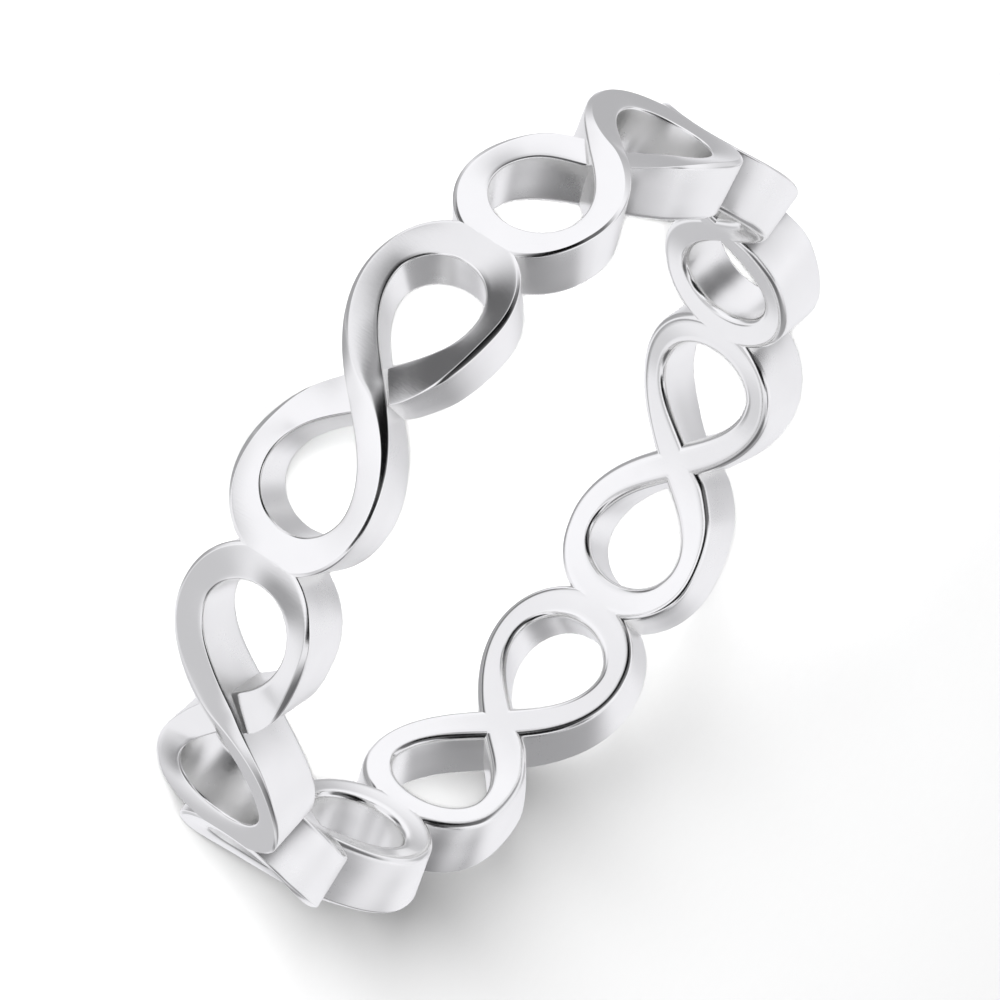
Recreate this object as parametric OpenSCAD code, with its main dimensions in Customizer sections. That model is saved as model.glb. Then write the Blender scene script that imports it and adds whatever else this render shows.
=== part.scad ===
// Ring made of infinity signs that follow one another right round the finger.
// It is cast in one piece and lies on its side: its axis is +Z, and it rests on Z = 0.

/* [Finger hole] */
// Inside diameter, a US size 7
bore_d = 17.35; // [14:0.05:22]

/* [Band] */
// Width of the band along the finger, over the loops
band_w = 3.7; // [2.8:0.1:5]
// Thickness of the metal, from the finger hole to the crest of a strand
band_t = 1.5; // [1:0.05:2]

/* [Infinity signs] */
// Number of signs round the ring
signs = 7; // [5:1:9]
// How far each sign runs past the middle line between it and the next one
sign_overlap = 0.2; // [0.1:0.02:0.4]
// Width of a strand at the top of a loop
strand_w = 0.64; // [0.5:0.02:0.8]
// Width of a strand where it crosses the other one, and where two signs meet
strand_w_wide = 0.84; // [0.6:0.02:1]

/* [Relief] */
// How much lower the edges of a strand are than its crest
edge_drop = 0.16; // [0.05:0.01:0.3]
// How far the crest lies toward the outside of a loop, as a share of the strand's half width
crest_shift = 0.7; // [0:0.05:0.85]
// How far the upper strand rises at the crossing
over_rise = 0.08; // [0:0.02:0.2]
// How far the lower strand dips under it
under_dip = 0.18; // [0.1:0.02:0.5]

/* [Hidden] */

// A sign is drawn by an angle t: a loop at 0, the upper strand over the crossing at 90,
// the other loop at 180, and the lower strand under the crossing at 270
LOOP_END = 180;
OVER = 90;
UNDER = 270;
// Steps of t between two sections of a strand
T_STEP = 5;
// Small step of t that gives the strand's direction
T_SMALL = 0.01;
// How far from the crossing, in t, a strand starts to rise or to dip
DIP_SPAN = 36;
// How much of the edge's drop the faces have half way between the crest and the edge
FACE_BULGE = 0.3;
// How slowly the crest of the upper strand and of the lower one crosses over, 1 being slowest
OVER_EASE = 0.5;
UNDER_EASE = 0.15;
// How far the strands run into the finger hole before it is cut
BORE_CUT = 0.25;
// How far the tool that cuts the finger hole stands out at each side of the band
CUT_OUT = 1;
// Facets of the finger hole
BORE_FN = 180;
// Scale that brings the top of a loop to a height of 1
LOOP_SCALE = sqrt(8);

bore_r = bore_d / 2;
pitch_deg = 360 / signs;
half_pitch = PI * bore_r / signs;
// From the middle of a sign to the middle of its strand at a loop's end
reach = half_pitch + sign_overlap - strand_w_wide / 2;
// From the middle of the band to the middle of a strand at the top of a loop
rise = (band_w - strand_w) / 2;

// Middle of the strand, laid flat: along the finger hole's wall, and across the band
function plan(t) =
    let (spread = 1 + pow(sin(t), 2))
    [reach * cos(t) / spread, rise * LOOP_SCALE * sin(t) * cos(t) / spread];

// Direction to the outside of the loop, laid flat
function outward(t) =
    let (d = plan(t + T_SMALL) - plan(t - T_SMALL))
    [d[1], -d[0]] / norm(d);

// The upper strand widens all the way from the top of a loop to the crossing,
// and the lower one only near the crossing
function half_w(t) =
    let (near = pow(cos(2 * t), 2), wide = t < LOOP_END ? max(near, pow(sin(t), 2)) : near)
    (strand_w + (strand_w_wide - strand_w) * wide) / 2;

// 1 at the crossing, falling smoothly to 0
function bump(t, crossing) =
    abs(t - crossing) < DIP_SPAN ? pow(cos(90 * (t - crossing) / DIP_SPAN), 2) : 0;

function crest_r(t) =
    bore_r + band_t + over_rise * bump(t, OVER) - under_dip * bump(t, UNDER);

// Where the crest lies, from -1 at the right edge of the strand to 1 at its left edge:
// it keeps to the outside of each loop, so it changes sides at the crossing
function crest_at(t) =
    let (ease = t < LOOP_END ? OVER_EASE : UNDER_EASE)
    crest_shift * cos(t) / (ease + (1 - ease) * abs(cos(t)));

// Section of a strand: each point's share of the half width, and its radius
function profile(t) =
    let (
        crest = crest_at(t),
        top = crest_r(t),
        face = top - edge_drop * FACE_BULGE,
        edge = top - edge_drop,
        foot = bore_r - BORE_CUT
    )
    [
        [1, foot],
        [1, edge],
        [(1 + crest) / 2, face],
        [crest, top],
        [(crest - 1) / 2, face],
        [-1, edge],
        [-1, foot]
    ];

// The same section, wrapped round the finger hole
function section(t) =
    let (middle = plan(t), side = outward(t) * half_w(t))
    [for (q = profile(t))
        let (flat = middle + side * q[0], turn = flat[0] / bore_r * 180 / PI)
        [q[1] * cos(turn), q[1] * sin(turn), flat[1]]];

// One strand of a sign, from the end of one loop over or under the crossing to the other
module strand(t_start) {
    steps = LOOP_END / T_STEP;
    sections = [for (i = [0 : steps]) section(t_start + i * T_STEP)];
    n = len(sections[0]);
    points = [for (s = sections) for (p = s) p];
    sides = [
        for (i = [0 : steps - 1]) for (j = [0 : n - 1])
            let (next = (j + 1) % n, near = i * n, far = near + n)
            for (f = [[near + j, near + next, far + next], [near + j, far + next, far + j]]) f
    ];
    first = [for (j = [n - 1 : -1 : 0]) j];
    last = [for (j = [0 : n - 1]) steps * n + j];
    polyhedron(points, concat(sides, [first], [last]));
}

module infinity_sign() {
    strand(0);
    strand(LOOP_END);
}

module ring_band() {
    color("silver")
        translate([0, 0, band_w / 2])
            difference() {
                // Brings the loops to exactly the band's width
                resize([0, 0, band_w])
                    for (i = [0 : signs - 1])
                        rotate([0, 0, i * pitch_deg])
                            infinity_sign();
                cylinder(r = bore_r, h = band_w + 2 * CUT_OUT, center = true, $fn = BORE_FN);
            }
}

ring_band();
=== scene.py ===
"""Infinity ring lying on its side on a pale studio floor: its band, its polished silver and its light."""

import logging
import math
from dataclasses import dataclass
from enum import Enum

import bpy
from mathutils import Matrix, Vector


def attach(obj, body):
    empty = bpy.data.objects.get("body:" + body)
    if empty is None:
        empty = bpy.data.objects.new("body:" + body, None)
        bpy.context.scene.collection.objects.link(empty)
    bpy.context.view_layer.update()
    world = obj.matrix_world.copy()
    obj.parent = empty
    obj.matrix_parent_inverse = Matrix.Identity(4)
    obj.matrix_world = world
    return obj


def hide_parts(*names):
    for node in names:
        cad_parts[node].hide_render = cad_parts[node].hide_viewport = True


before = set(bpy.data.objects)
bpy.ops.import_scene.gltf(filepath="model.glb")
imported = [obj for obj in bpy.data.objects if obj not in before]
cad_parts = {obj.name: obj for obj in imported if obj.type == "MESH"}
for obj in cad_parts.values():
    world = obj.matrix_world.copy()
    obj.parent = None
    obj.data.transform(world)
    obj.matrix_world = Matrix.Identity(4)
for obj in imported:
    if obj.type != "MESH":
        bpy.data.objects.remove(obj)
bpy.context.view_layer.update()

log = logging.getLogger("infinity_ring")

MM = 0.001
# Brings the top of a loop of the sign's curve to a height of 1
LOOP_SCALE = math.sqrt(8)


def deselect_all() -> None:
    """Leaves object mode with nothing selected."""
    if bpy.context.object and bpy.context.object.mode != "OBJECT":
        bpy.ops.object.mode_set(mode="OBJECT")
    bpy.ops.object.select_all(action="DESELECT")


def pick(piece: bpy.types.Object) -> None:
    """Makes one object the only selected one, and the active one.

    Args:
        piece: The object.
    """
    deselect_all()
    piece.select_set(True)
    bpy.context.view_layer.objects.active = piece


def apply_modifier(piece: bpy.types.Object, kind: str, **settings: object) -> None:
    """Adds one modifier to a piece and applies it.

    Args:
        piece: The mesh object.
        kind: The modifier's type.
        settings: Values for the modifier's own properties.
    """
    pick(piece)
    modifier = piece.modifiers.new(kind.lower(), kind)
    for name, value in settings.items():
        setattr(modifier, name, value)
    bpy.ops.object.modifier_apply(modifier=modifier.name)


def turn_and_move(piece: bpy.types.Object, matrix: Matrix) -> None:
    """Changes a mesh's points by a matrix, so that the object itself stays at the origin."""
    piece.data.transform(matrix)
    piece.data.update()


def smooth_between(value: float, knots: tuple[tuple[float, float], ...]) -> float:
    """Reads a smooth curve through a few knots.

    Args:
        value: Where the curve is read.
        knots: Pairs of place and height, in order of place.

    Returns:
        The curve's height, level at each knot.
    """
    for (start, low), (end, high) in zip(knots, knots[1:]):
        if value <= end:
            share = max(0.0, (value - start) / (end - start))
            return low + (high - low) * share * share * (3 - 2 * share)
    return knots[-1][1]


class Pass(Enum):
    """How a strand passes its partner in the middle of a sign."""

    OVER = "over"
    UNDER = "under"


@dataclass(frozen=True)
class StrandCut:
    """What a strand measures at one place along it, in millimetres.

    The crest's place is a share of the half width, from -1 at the right edge to 1 at the left one. Bluntness is 0
    where the crest is a clear ridge, and 1 where it is rounded and its sides are steeper.
    """

    half: float
    crest: float
    bluntness: float
    top: float


@dataclass(frozen=True)
class StrandProfile:
    """Section of a strand, in millimetres, with its polished edges.

    The face falls from its crest by edge_drop, or by middle_drop where the crest is blunt, but nowhere more steeply
    than bevel, and blend softens the change between the two. Ridge is the share of the fall that is straight on both
    sides of the crest, and the rest is a curve. The crest itself is rounded over the share sharp or blunt of a side.
    A wall ends in a lip of radius top_round, which shrinks to the share tight of it where the crest comes close, from
    tight_within on. The steps count the points of each part, and crowding draws those of the face to the crest.
    """

    thickness: float = 1.5
    edge_drop: float = 0.155
    middle_drop: float = 0.25
    bevel: float = 0.62
    blend: float = 0.06
    ridge: float = 0.85
    sharp: float = 0.012
    blunt: float = 0.12
    top_round: float = 0.07
    tight: float = 0.12
    tight_within: float = 0.3
    foot_round: float = 0.17
    slope_step: float = 0.02
    ridge_margin: float = 0.02
    round_steps: int = 6
    face_steps: int = 11
    crowding: float = 1.5
    foot_steps: int = 6
    wall_steps: int = 2

    def count(self) -> int:
        """Points round the section."""
        return 4 * (self.round_steps + 1) + 2 * self.face_steps - 1 + self.foot_steps - 1 + 2 * self.wall_steps

    def face_height(self, share: float, cut: StrandCut) -> float:
        """Height of the strand's face, which falls gently to one side of the crest and as a bevel to the near edge.

        Args:
            share: Place across the strand, from -1 at its right edge to 1 at its left one.
            cut: What the strand measures there.

        Returns:
            The height in millimetres above the finger hole's wall.
        """
        side = 1 - cut.crest if share > cut.crest else 1 + cut.crest
        away = abs(share - cut.crest) / side
        radius = self.sharp + (self.blunt - self.sharp) * cut.bluntness
        steep = self.bevel * side * cut.half
        gentle = self.edge_drop + (self.middle_drop - self.edge_drop) * cut.bluntness
        drop = max(0.0, (steep + gentle - math.hypot(steep - gentle, self.blend)) / 2)
        soft = math.sqrt(away * away + radius * radius) - radius
        return cut.top - drop * (self.ridge * soft + (1 - self.ridge) * away * away)

    def lip(self, side: int, cut: StrandCut) -> float:
        """Radius of the polished edge between a wall and the face.

        Args:
            side: 1 at the left wall, and -1 at the right one.
            cut: What the strand measures there.

        Returns:
            The radius in millimetres.
        """
        if side * cut.crest <= 0:
            return self.top_round
        return self.top_round * max(self.tight, min(1.0, (1 - abs(cut.crest)) / self.tight_within))

    def wall(self, side: int, cut: StrandCut) -> tuple[list[tuple[float, float]], float]:
        """Points of one wall, from its rounded foot to the end of its lip.

        Args:
            side: 1 for the left wall, and -1 for the right one.
            cut: What the strand measures there.

        Returns:
            Pairs of offset across the strand and height, and the share of the half width at which the face starts.
        """
        half, foot, lip = cut.half, self.foot_round, self.lip(side, cut)
        quarter = [math.pi / 2 * i / self.round_steps for i in range(self.round_steps + 1)]
        near = side * (1 - lip / half)
        fall = self.face_height(near - side * self.slope_step, cut) - self.face_height(near, cut)
        end = math.pi / 2 - math.atan(fall / (self.slope_step * half))
        reach = half - lip + lip * math.cos(end)
        low = self.face_height(side * reach / half, cut) - lip * math.sin(end)
        wall = [(side * (half - foot + foot * math.sin(a)), foot - foot * math.cos(a)) for a in quarter]
        steps = self.wall_steps + 1
        wall += [(side * half, foot + (low - foot) * i / steps) for i in range(1, steps)]
        lip_turns = [a * end / (math.pi / 2) for a in quarter]
        wall += [(side * (half - lip + lip * math.cos(a)), low + lip * math.sin(a)) for a in lip_turns]
        return wall, reach / half

    def points(self, cut: StrandCut) -> list[tuple[float, float]]:
        """Points of the section, from the foot's left end, up the left wall, over the face and down again.

        Args:
            cut: What the strand measures there.

        Returns:
            Pairs of offset across the strand and height.
        """
        left, left_reach = self.wall(1, cut)
        right, right_reach = self.wall(-1, cut)
        ridge = max(-right_reach + self.ridge_margin, min(left_reach - self.ridge_margin, cut.crest))
        near = [(i / self.face_steps) ** self.crowding for i in range(1, self.face_steps)]
        shares = [ridge + (left_reach - ridge) * a for a in near[::-1]] + [ridge]
        shares += [ridge - (right_reach + ridge) * a for a in near]
        face = [(share * cut.half, self.face_height(share, cut)) for share in shares]
        flat = cut.half - self.foot_round
        sole = [(flat * (2 * i / self.foot_steps - 1), 0.0) for i in range(1, self.foot_steps)]
        return left + face + right[::-1] + sole


@dataclass(frozen=True)
class InfinitySign:
    """One sign laid flat, in millimetres: X along the band, Y across it, and height above the finger hole's wall.

    An angle t in degrees runs round the sign: a loop's end at 0, the upper strand's crossing at over_at, the other
    loop's end at 180 and the lower strand's crossing at under_at. Over_shift, over_ease and under_shift say how far
    the crest lies from the middle of each strand, swell_size and swell_place how the lower strand widens before it
    runs in under the crossing, and over_rise, under_dip and dip_span how the strands rise and dip there.
    """

    half_pitch: float
    band_width: float
    overlap: float = 0.2
    strand: float = 0.64
    strand_wide: float = 0.84
    over_at: float = 90.0
    under_at: float = 270.0
    over_shift: float = 0.8
    over_ease: float = 0.3
    under_shift: tuple[tuple[float, float], ...] = ((0.0, 0.0), (0.14, 0.99), (0.36, 0.97), (0.78, 0.55), (1.0, 0.8))
    swell_size: float = 0.15
    swell_place: tuple[tuple[float, float], ...] = ((0.0, 0.0), (0.3, 1.0), (0.5, 1.0), (0.82, 0.0))
    over_rise: float = 0.078
    under_dip: float = 0.2
    dip_span: float = 36.0
    t_small: float = 0.01
    steps: int = 240
    sliver: float = 0.0002
    cut_within: float = 1e-6
    profile: StrandProfile = StrandProfile()

    def middle(self, t: float) -> Vector:
        """Middle of the strand.

        Args:
            t: Angle of the place, in degrees.

        Returns:
            The point on the flat strip, along it and across it.
        """
        reach = self.half_pitch + self.overlap - self.strand_wide / 2
        rise = (self.band_width - self.strand) / 2
        sine, cosine = math.sin(math.radians(t)), math.cos(math.radians(t))
        spread = 1 + sine * sine
        return Vector((reach * cosine / spread, rise * LOOP_SCALE * sine * cosine / spread))

    def outward(self, t: float) -> Vector:
        """Direction across the strand at angle t, to the outside of the loop at 0 and the inside of the other."""
        step = self.middle(t + self.t_small) - self.middle(t - self.t_small)
        return Vector((step.y, -step.x)).normalized()

    def way(self, t: float) -> Pass:
        """Whether the strand at angle t is the upper or the lower one."""
        return Pass.OVER if t % 360 < 180 else Pass.UNDER

    def half_width(self, t: float) -> float:
        """Half the strand's width. The upper strand widens all the way from a loop's top to the crossing.

        Args:
            t: Angle of the place, in degrees.

        Returns:
            The half width in millimetres.
        """
        wide = math.cos(math.radians(2 * t)) ** 2
        if self.way(t) is Pass.OVER:
            wide = max(wide, math.sin(math.radians(t)) ** 2)
        return (self.strand + (self.strand_wide - self.strand) * wide) / 2

    def swell(self, t: float) -> float:
        """How much wider than planned the lower strand is where it runs in under the crossing.

        Args:
            t: Angle of the place, in degrees.

        Returns:
            The added width in millimetres, all of it at one edge.
        """
        if self.way(t) is Pass.OVER or t >= self.under_at:
            return 0.0
        return self.swell_size * smooth_between(-math.cos(math.radians(t)), self.swell_place)

    def bump(self, t: float, crossing: float) -> float:
        """1 at the angle of a crossing, falling smoothly to 0."""
        away = t - crossing
        return math.cos(math.pi / 2 * away / self.dip_span) ** 2 if abs(away) < self.dip_span else 0.0

    def top(self, t: float) -> float:
        """Height of the crest at angle t."""
        rise = self.over_rise * self.bump(t, self.over_at)
        return self.profile.thickness + rise - self.under_dip * self.bump(t, self.under_at)

    def crest(self, t: float) -> float:
        """Place of the crest across the strand. It keeps to the outside of each loop, so it changes sides in between.

        Args:
            t: Angle of the place, in degrees.

        Returns:
            The place as a share of the half width.
        """
        cosine = math.cos(math.radians(t))
        away = abs(cosine)
        if self.way(t) is Pass.OVER:
            share = self.over_shift * away / (self.over_ease + (1 - self.over_ease) * away)
        else:
            share = smooth_between(away, self.under_shift)
        return math.copysign(share, cosine)

    def section(self, t: float) -> list[Vector]:
        """Points of the strand's section, on the flat strip that lies with its height along -Y.

        Args:
            t: Angle of the place, in degrees.

        Returns:
            The points, all the way round the section.
        """
        across, swell, crest = self.outward(t), self.swell(t), self.crest(t)
        centre = self.middle(t) - across * swell / 2
        bluntness = (1 - (crest / self.over_shift) ** 2) ** 2 if self.way(t) is Pass.OVER else 0.0
        cut = StrandCut(self.half_width(t) + swell / 2, crest, bluntness, self.top(t))
        made = []
        for offset, height in self.profile.points(cut):
            flat = centre + across * offset
            made.append(Vector((flat.x, -height, flat.y)))
        return made

    def build(self, name: str) -> bpy.types.Object:
        """Lays a ring-shaped primitive along both strands, and joins them at the crossing.

        Args:
            name: Name of the piece.

        Returns:
            The sign, closed but for its two ends, which are cut at the middle lines to its neighbours.
        """
        deselect_all()
        bpy.ops.mesh.primitive_torus_add(
            major_segments=self.steps,
            minor_segments=self.profile.count(),
            major_radius=self.half_pitch,
            minor_radius=self.strand,
        )
        sign = bpy.context.object
        sign.name = sign.data.name = name
        place = [
            value
            for i in range(self.steps)
            for point in self.section(360 * i / self.steps)
            for value in point
        ]
        sign.data.vertices.foreach_set("co", place)
        sign.data.update()
        self.join_crossing(sign)
        self.cut_ends(sign)
        return sign

    def join_crossing(self, sign: bpy.types.Object) -> None:
        """Makes one skin of the two strands where they cross.

        Args:
            sign: The sign, whose faces are still in the primitive's order.
        """
        pick(sign)
        bpy.ops.object.mode_set(mode="EDIT")
        bpy.ops.mesh.select_all(action="SELECT")
        bpy.ops.mesh.normals_make_consistent(inside=False)
        bpy.ops.mesh.select_all(action="DESELECT")
        bpy.ops.object.mode_set(mode="OBJECT")
        columns = self.profile.count()
        for face in sign.data.polygons:
            face.select = self.way(360 * (face.index // columns) / self.steps) is Pass.OVER
        bpy.ops.object.mode_set(mode="EDIT")
        bpy.ops.mesh.intersect_boolean(operation="UNION", use_self=True, solver="EXACT")
        bpy.ops.mesh.select_all(action="SELECT")
        bpy.ops.mesh.dissolve_degenerate(threshold=self.sliver)
        bpy.ops.object.mode_set(mode="OBJECT")

    def cut_ends(self, sign: bpy.types.Object) -> None:
        """Cuts both loops at the middle lines, where the neighbouring signs go on.

        Args:
            sign: The sign.
        """
        pick(sign)
        bpy.ops.object.mode_set(mode="EDIT")
        for side in (-1, 1):
            bpy.ops.mesh.select_all(action="SELECT")
            bpy.ops.mesh.bisect(
                plane_co=(side * self.half_pitch, 0, 0),
                plane_no=(side, 0, 0),
                clear_outer=True,
                threshold=self.cut_within,
            )
        bpy.ops.object.mode_set(mode="OBJECT")


@dataclass
class InfinityBand:
    """The whole ring: infinity signs that run into each other round the finger."""

    bore_radius: float = 8.675
    width: float = 3.7
    signs: int = 7
    weld: float = 0.006
    smooth_below: float = 32.0
    name: str = "infinity_band"

    def half_pitch(self) -> float:
        """Half the length of one sign along the finger hole's wall."""
        return math.pi * self.bore_radius / self.signs

    def build(self) -> bpy.types.Object:
        """Models one sign flat, repeats it, bends the strip round the finger and welds its ends.

        Returns:
            The finished band, in metres, in the CAD's place.
        """
        band = InfinitySign(self.half_pitch(), self.width).build(self.name)
        log.info("one sign: %d faces", len(band.data.polygons))
        apply_modifier(
            band,
            "ARRAY",
            count=self.signs,
            use_relative_offset=False,
            use_constant_offset=True,
            constant_offset_displace=(2 * self.half_pitch(), 0, 0),
            use_merge_vertices=True,
            merge_threshold=self.weld,
        )
        self.bend(band)
        self.weld_ends(band)
        self.fit_width(band)
        pick(band)
        bpy.ops.object.shade_smooth_by_angle(angle=math.radians(self.smooth_below))
        return band

    def bend(self, band: bpy.types.Object) -> None:
        """Rolls the flat strip up round the axis of the finger hole, with a crossing on +X.

        Args:
            band: The band.
        """
        turn_and_move(band, Matrix.Translation((-(self.signs - 1) * self.half_pitch(), 0, 0)))
        apply_modifier(band, "SIMPLE_DEFORM", deform_method="BEND", deform_axis="Z", angle=2 * math.pi)
        turn_and_move(band, Matrix.Rotation(math.pi / 2, 4, "Z") @ Matrix.Translation((0, -self.bore_radius, 0)))

    def weld_ends(self, band: bpy.types.Object) -> None:
        """Merges the strip's two ends and turns every face outwards.

        Args:
            band: The band.
        """
        pick(band)
        bpy.ops.object.mode_set(mode="EDIT")
        bpy.ops.mesh.select_all(action="DESELECT")
        bpy.ops.object.mode_set(mode="OBJECT")
        for vertex in band.data.vertices:
            vertex.select = vertex.co.x < 0 and abs(vertex.co.y) < self.weld
        bpy.ops.object.mode_set(mode="EDIT")
        bpy.ops.mesh.remove_doubles(threshold=self.weld)
        bpy.ops.mesh.select_all(action="SELECT")
        bpy.ops.mesh.normals_make_consistent(inside=False)
        bpy.ops.object.mode_set(mode="OBJECT")

    def fit_width(self, band: bpy.types.Object) -> None:
        """Stands the band on the floor, brings it to its width and to metres.

        Args:
            band: The band.
        """
        heights = [v.co.z for v in band.data.vertices]
        low, high = min(heights), max(heights)
        stretch = self.width / (high - low)
        turn_and_move(
            band,
            Matrix.Scale(MM, 4)
            @ Matrix.Scale(stretch, 4, (0, 0, 1))
            @ Matrix.Translation((0, 0, -low)),
        )


class Maths:
    """Adds plain arithmetic nodes to a tree."""

    def __init__(self, tree: bpy.types.NodeTree) -> None:
        """Keeps the tree that the nodes go into."""
        self.tree = tree

    def do(self, operation: str, *values: object) -> bpy.types.NodeSocket:
        """Adds one Math node.

        Args:
            operation: The node's operation.
            values: Its inputs, each a socket or a number.

        Returns:
            The node's output.
        """
        node = self.tree.nodes.new("ShaderNodeMath")
        node.operation = operation
        for i, value in enumerate(values):
            if isinstance(value, bpy.types.NodeSocket):
                self.tree.links.new(value, node.inputs[i])
            else:
                node.inputs[i].default_value = value
        return node.outputs[0]

    def fade(self, value: bpy.types.NodeSocket, full: float, none: float) -> bpy.types.NodeSocket:
        """Adds a node that falls smoothly from 1 to 0 between two limits.

        Args:
            value: The value that is tested.
            full: Where the result is 1.
            none: Where the result is 0.

        Returns:
            The node's output.
        """
        node = self.tree.nodes.new("ShaderNodeMapRange")
        node.interpolation_type = "SMOOTHSTEP"
        self.tree.links.new(value, node.inputs["Value"])
        for name, number in (("From Min", none), ("From Max", full), ("To Min", 0.0), ("To Max", 1.0)):
            node.inputs[name].default_value = number
        return node.outputs["Result"]


@dataclass(frozen=True)
class PolishedSilver:
    """Mirror-polished silver with a polishing wheel's haze and hairlines, and satin walls that it can't reach."""

    clear: tuple[float, float, float] = (0.935, 0.935, 0.925)
    hazy: tuple[float, float, float] = (0.915, 0.915, 0.905)
    tint_stops: tuple[float, float] = (0.35, 0.75)
    haze_size: float = 0.0012
    haze_detail: float = 3.0
    hairline: tuple[float, float, float] = (0.00004, 0.00004, 0.0009)
    hair_detail: float = 2.0
    hair_share: float = 0.4
    wear_range: tuple[float, float] = (0.3, 0.7)
    smooth: float = 0.10
    rough: float = 0.17
    satin: float = 0.16
    wall_facing: tuple[float, float] = (0.2, 0.6)
    depth: float = 0.0000004

    def make(self) -> bpy.types.Material:
        """Builds the material's nodes on Object coordinates.

        Returns:
            The material.
        """
        silver = bpy.data.materials.new("polished_silver")
        silver.use_nodes = True
        tree = silver.node_tree
        links = tree.links
        shader = tree.nodes["Principled BSDF"]
        shader.inputs["Metallic"].default_value = 1.0
        place = tree.nodes.new("ShaderNodeTexCoord").outputs["Object"]
        haze = self.noise(tree, place, (self.haze_size,) * 3, self.haze_detail)
        hairs = self.noise(tree, place, self.hairline, self.hair_detail)
        tint = tree.nodes.new("ShaderNodeValToRGB")
        for stop, colour, position in zip(tint.color_ramp.elements, (self.clear, self.hazy), self.tint_stops):
            stop.color, stop.position = (*colour, 1), position
        links.new(haze, tint.inputs["Fac"])
        links.new(tint.outputs["Color"], shader.inputs["Base Color"])
        maths = Maths(tree)
        wear = maths.do("MULTIPLY_ADD", hairs, self.hair_share, maths.do("MULTIPLY", haze, 1 - self.hair_share))
        blur = tree.nodes.new("ShaderNodeMapRange")
        links.new(wear, blur.inputs["Value"])
        limits = (*self.wear_range, self.smooth, self.rough)
        for name, number in zip(("From Min", "From Max", "To Min", "To Max"), limits):
            blur.inputs[name].default_value = number
        walls = maths.do("MULTIPLY", self.walls(tree), self.satin)
        links.new(maths.do("ADD", blur.outputs["Result"], walls), shader.inputs["Roughness"])
        relief = tree.nodes.new("ShaderNodeBump")
        relief.inputs["Distance"].default_value = self.depth
        links.new(hairs, relief.inputs["Height"])
        links.new(relief.outputs["Normal"], shader.inputs["Normal"])
        return silver

    def walls(self, tree: bpy.types.NodeTree) -> bpy.types.NodeSocket:
        """Adds a mask of the strands' side walls, which face neither outwards nor into the finger hole.

        Args:
            tree: The material's node tree.

        Returns:
            1 on a side wall, and 0 on the faces.
        """
        where = tree.nodes.new("ShaderNodeTexCoord")
        outwards = tree.nodes.new("ShaderNodeVectorMath")
        outwards.operation = "MULTIPLY"
        outwards.inputs[1].default_value = (1, 1, 0)
        tree.links.new(where.outputs["Object"], outwards.inputs[0])
        unit = tree.nodes.new("ShaderNodeVectorMath")
        unit.operation = "NORMALIZE"
        tree.links.new(outwards.outputs[0], unit.inputs[0])
        facing = tree.nodes.new("ShaderNodeVectorMath")
        facing.operation = "DOT_PRODUCT"
        tree.links.new(where.outputs["Normal"], facing.inputs[0])
        tree.links.new(unit.outputs[0], facing.inputs[1])
        maths = Maths(tree)
        return maths.fade(maths.do("ABSOLUTE", facing.outputs["Value"]), *self.wall_facing)

    def noise(
        self, tree: bpy.types.NodeTree, place: bpy.types.NodeSocket, size: tuple[float, ...], detail: float
    ) -> bpy.types.NodeSocket:
        """Adds noise whose grains have a given size.

        Args:
            tree: The material's node tree.
            place: The coordinates.
            size: A grain's size along each axis, in metres.
            detail: How many finer layers it has.

        Returns:
            The noise's factor.
        """
        mapping = tree.nodes.new("ShaderNodeMapping")
        mapping.inputs["Scale"].default_value = [1 / length for length in size]
        tree.links.new(place, mapping.inputs["Vector"])
        noise = tree.nodes.new("ShaderNodeTexNoise")
        noise.inputs["Scale"].default_value = 1.0
        noise.inputs["Detail"].default_value = detail
        tree.links.new(mapping.outputs["Vector"], noise.inputs["Vector"])
        return noise.outputs[0]


@dataclass(frozen=True)
class FloorPaper:
    """Matt white paper with a faint grain."""

    light: tuple[float, float, float] = (0.9, 0.9, 0.9)
    dark: tuple[float, float, float] = (0.885, 0.885, 0.885)
    roughness: float = 0.8
    grain: float = 0.0004
    grain_detail: float = 3.0
    relief: float = 0.2
    depth: float = 0.00001

    def make(self) -> bpy.types.Material:
        """Builds the material's nodes on Object coordinates.

        Returns:
            The material.
        """
        paper = bpy.data.materials.new("floor_paper")
        paper.use_nodes = True
        tree = paper.node_tree
        shader = tree.nodes["Principled BSDF"]
        shader.inputs["Roughness"].default_value = self.roughness
        noise = tree.nodes.new("ShaderNodeTexNoise")
        noise.inputs["Scale"].default_value = 1 / self.grain
        noise.inputs["Detail"].default_value = self.grain_detail
        tree.links.new(tree.nodes.new("ShaderNodeTexCoord").outputs["Object"], noise.inputs["Vector"])
        tint = tree.nodes.new("ShaderNodeValToRGB")
        for stop, colour in zip(tint.color_ramp.elements, (self.dark, self.light)):
            stop.color = (*colour, 1)
        tree.links.new(noise.outputs[0], tint.inputs["Fac"])
        tree.links.new(tint.outputs["Color"], shader.inputs["Base Color"])
        relief = tree.nodes.new("ShaderNodeBump")
        relief.inputs["Strength"].default_value = self.relief
        relief.inputs["Distance"].default_value = self.depth
        tree.links.new(noise.outputs[0], relief.inputs["Height"])
        tree.links.new(relief.outputs["Normal"], shader.inputs["Normal"])
        return paper


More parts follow.
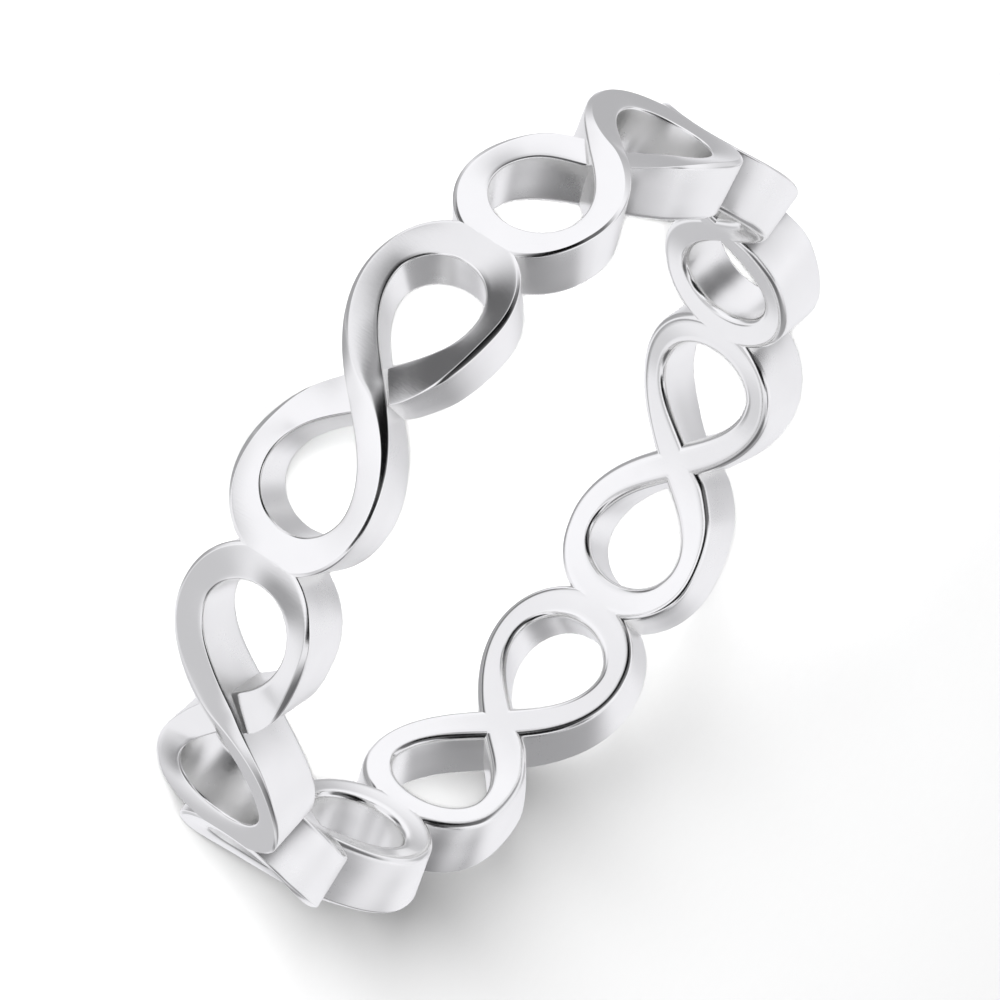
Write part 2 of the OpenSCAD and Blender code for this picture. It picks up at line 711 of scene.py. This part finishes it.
@dataclass(frozen=True)
class Card:
    """A soft-edged white, grey or black card of the light tent, all angles in degrees."""

    azimuth: float
    elevation: float
    half_width: float
    half_height: float
    soft: float
    tone: float

    def add(
        self,
        tree: bpy.types.NodeTree,
        turn: bpy.types.NodeSocket,
        lift: bpy.types.NodeSocket,
        behind: bpy.types.NodeSocket | float,
    ) -> bpy.types.NodeSocket:
        """Adds the card to the tent.

        Args:
            tree: The tent's node tree.
            turn: Azimuth that is looked at, in degrees.
            lift: Elevation that is looked at, in degrees.
            behind: Tone of what the card stands in front of.

        Returns:
            The tone with the card in place.
        """
        maths = Maths(tree)
        side = maths.do("PINGPONG", maths.do("SUBTRACT", turn, self.azimuth), 180.0)
        rise = maths.do("ABSOLUTE", maths.do("SUBTRACT", lift, self.elevation))
        across = maths.fade(side, self.half_width - self.soft, self.half_width + self.soft)
        upward = maths.fade(rise, self.half_height - self.soft, self.half_height + self.soft)
        mix = tree.nodes.new("ShaderNodeMix")
        mix.data_type = "FLOAT"
        tree.links.new(maths.do("MULTIPLY", across, upward), mix.inputs["Factor"])
        if isinstance(behind, bpy.types.NodeSocket):
            tree.links.new(behind, mix.inputs["A"])
        else:
            mix.inputs["A"].default_value = behind
        mix.inputs["B"].default_value = self.tone
        return mix.outputs[0]


@dataclass(frozen=True)
class Tent:
    """The light tent that the silver reflects: a pale sphere with cards in front of it.

    The tent is dark to a ray that has left the floor, so the silver throws no bright patches on the floor.
    """

    tone: float
    tint: tuple[float, float, float]
    cards: tuple[Card, ...]
    floor_bounces: float = 0.5

    def raise_up(self) -> bpy.types.World:
        """Builds the tent's nodes.

        Returns:
            The world that holds it.
        """
        world = bpy.data.worlds.new("tent")
        world.use_nodes = True
        tree = world.node_tree
        nodes, links = tree.nodes, tree.links
        nodes.clear()
        parts = nodes.new("ShaderNodeSeparateXYZ")
        links.new(nodes.new("ShaderNodeTexCoord").outputs["Generated"], parts.inputs[0])
        maths = Maths(tree)
        turn = maths.do("DEGREES", maths.do("ARCTAN2", parts.outputs["Y"], parts.outputs["X"]))
        lift = maths.do("DEGREES", maths.do("ARCSINE", parts.outputs["Z"]))
        tone: bpy.types.NodeSocket | float = self.tone
        for card in self.cards:
            tone = card.add(tree, turn, lift, tone)
        tinted = nodes.new("ShaderNodeVectorMath")
        tinted.operation = "SCALE"
        tinted.inputs[0].default_value = self.tint
        links.new(tone, tinted.inputs["Scale"])
        background = nodes.new("ShaderNodeBackground")
        links.new(tinted.outputs[0], background.inputs["Color"])
        bounces = nodes.new("ShaderNodeLightPath").outputs["Diffuse Depth"]
        links.new(maths.do("LESS_THAN", bounces, self.floor_bounces), background.inputs["Strength"])
        links.new(background.outputs[0], nodes.new("ShaderNodeOutputWorld").inputs["Surface"])
        world.cycles_visibility.diffuse = False
        world.cycles.sampling_method = "NONE"
        return world


@dataclass(frozen=True)
class Camera:
    """The camera at the photograph's angle to the ring, in metres and millimetres of lens."""

    place: tuple[float, float, float] = (-0.21643914, 0.086277, 0.09940454)
    right: tuple[float, float, float] = (0.50142087, 0.38178986, 0.77641073)
    up: tuple[float, float, float] = (0.1172456, 0.85911206, -0.49817661)
    lens: float = 388.57
    film: float = 36.0
    clip: tuple[float, float] = (0.01, 10.0)

    def stand(self) -> bpy.types.Object:
        """Places the camera and makes it the scene's own.

        Returns:
            The camera.
        """
        lens = bpy.data.cameras.new("camera")
        lens.sensor_width = self.film
        lens.lens = self.lens
        lens.clip_start, lens.clip_end = self.clip
        view = bpy.data.objects.new("camera", lens)
        bpy.context.scene.collection.objects.link(view)
        right, up = Vector(self.right), Vector(self.up)
        turn = Matrix((right, up, right.cross(up))).transposed().to_4x4()
        view.matrix_world = Matrix.Translation(self.place) @ turn
        bpy.context.scene.camera = view
        return view


CAMERA = Camera()


def hang_light(lamp: bpy.types.Light, place: Vector, away: Vector) -> bpy.types.Object:
    """Hangs a light that the silver doesn't reflect.

    Args:
        lamp: The light's data.
        place: Where it hangs, in metres.
        away: Direction to it from what it lights.

    Returns:
        The light.
    """
    holder = bpy.data.objects.new(lamp.name, lamp)
    bpy.context.scene.collection.objects.link(holder)
    holder.matrix_world = Matrix.Translation(place) @ away.to_track_quat("Z", "Y").to_matrix().to_4x4()
    holder.visible_glossy = False
    return holder


@dataclass(frozen=True)
class Lamp:
    """A round soft lamp that lights the floor, aimed at the ring. Angles in degrees, lengths in metres."""

    name: str
    azimuth: float
    elevation: float
    distance: float
    size: float
    power: float

    def hang(self) -> bpy.types.Object:
        """Hangs the lamp.

        Returns:
            The lamp.
        """
        lamp = bpy.data.lights.new(self.name, "AREA")
        lamp.shape = "DISK"
        lamp.size = self.size
        lamp.energy = self.power
        turn, lift = math.radians(self.azimuth), math.radians(self.elevation)
        away = Vector((math.cos(turn) * math.cos(lift), math.sin(turn) * math.cos(lift), math.sin(lift)))
        return hang_light(lamp, away * self.distance, away)


@dataclass(frozen=True)
class PoolOfLight:
    """A spotlight beside the lens that brightens a round, soft-edged part of the floor. Lengths in metres."""

    name: str
    x: float
    y: float
    radius: float
    power: float
    edge: float = 0.6
    softness: float = 0.45
    place: tuple[float, float, float] = CAMERA.place

    def hang(self) -> bpy.types.Object:
        """Hangs the spotlight.

        Returns:
            The spotlight.
        """
        lamp = bpy.data.lights.new(self.name, "SPOT")
        lamp.energy = self.power
        away = Vector(self.place) - Vector((self.x, self.y, 0))
        lamp.spot_size = 2 * math.atan(self.radius / away.length)
        lamp.spot_blend = self.edge
        lamp.shadow_soft_size = self.softness * self.radius
        return hang_light(lamp, Vector(self.place), away)


TENT = Tent(
    tone=0.94,
    tint=(0.966, 0.962, 1.0),
    # Azimuth, elevation, half width, half height, softness and tone; each card stands in front of those before it
    cards=(
        Card(65, -20, 26, 30, 10, 1.05),
        Card(175, -12, 24, 34, 10, 1.05),
        Card(-152, -5, 26, 11, 6, 0.62),
        Card(-126, -32, 9, 9, 5, 0.36),
        Card(60, 70, 70, 12, 6, 1.05),
        Card(-28, 22, 13, 22, 10, 0.99),
        Card(-80, 30, 44, 22, 10, 0.36),
        Card(-112, 30, 20, 20, 12, 0.14),
        Card(122, -47, 24, 11, 8, 0.13),
        Card(22, -28, 18, 26, 12, 0.5),
        Card(-66, -24, 18, 16, 8, 0.6),
        Card(-4, 2, 7, 13, 4, 0.72),
        Card(22, 18, 15, 12, 8, 0.55),
        Card(-142, 69, 42, 7, 5, 0.18),
        Card(0, -90, 180, 30, 8, 0.4),
        Card(140, 40, 64, 18, 4, 0.012),
        Card(108, 34, 44, 28, 12, 0.16),
        Card(122, 21, 28, 15, 8, 0.004),
        Card(-68, -4, 20, 4, 3, 0.32),
        Card(110, -4, 7, 7, 4, 0.3),
    ),
)

LAMPS = (
    Lamp("fill", azimuth=0, elevation=90, distance=0.5, size=0.5, power=1.0),
    Lamp("front", azimuth=158.27, elevation=23.1, distance=0.2533, size=0.02, power=0.16),
    Lamp("key", azimuth=153, elevation=14, distance=0.8, size=0.22, power=22.6),
    PoolOfLight("pool_back", x=0.0073, y=0.0022, radius=0.0078, power=6.8),
    PoolOfLight("pool_front", x=-0.0011, y=-0.0049, radius=0.0044, power=7.4),
    PoolOfLight("pool_right", x=0.0115, y=-0.0066, radius=0.0028, power=4.6),
)


@dataclass
class Studio:
    """Pale floor, soft light and the camera."""

    floor_size: float = 4.0
    tent: Tent = TENT
    lamps: tuple[Lamp | PoolOfLight, ...] = LAMPS
    camera: Camera = CAMERA

    def set_up(self) -> None:
        """Lays the floor, lights it and the silver, and places the camera."""
        self.lay_floor()
        bpy.context.scene.world = self.tent.raise_up()
        for lamp in self.lamps:
            log.info("lamp: %s", lamp.hang().name)
        bpy.context.scene.view_settings.view_transform = "Standard"
        self.camera.stand()

    def lay_floor(self) -> bpy.types.Object:
        """Lays the paper floor, which the silver doesn't reflect.

        Returns:
            The floor.
        """
        deselect_all()
        bpy.ops.mesh.primitive_plane_add(size=self.floor_size)
        floor = bpy.context.object
        floor.name = floor.data.name = "floor"
        floor.data.materials.append(FloorPaper().make())
        floor.visible_glossy = False
        return floor


def main() -> None:
    """Builds the ring and its studio."""
    logging.basicConfig(level=logging.INFO, format="%(name)s: %(message)s")
    band = InfinityBand().build()
    band.data.materials.append(PolishedSilver().make())
    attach(band, "root")
    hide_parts("ring_band")
    log.info("%s: %d faces", band.name, len(band.data.polygons))
    Studio().set_up()


if __name__ == "__main__":
    main()
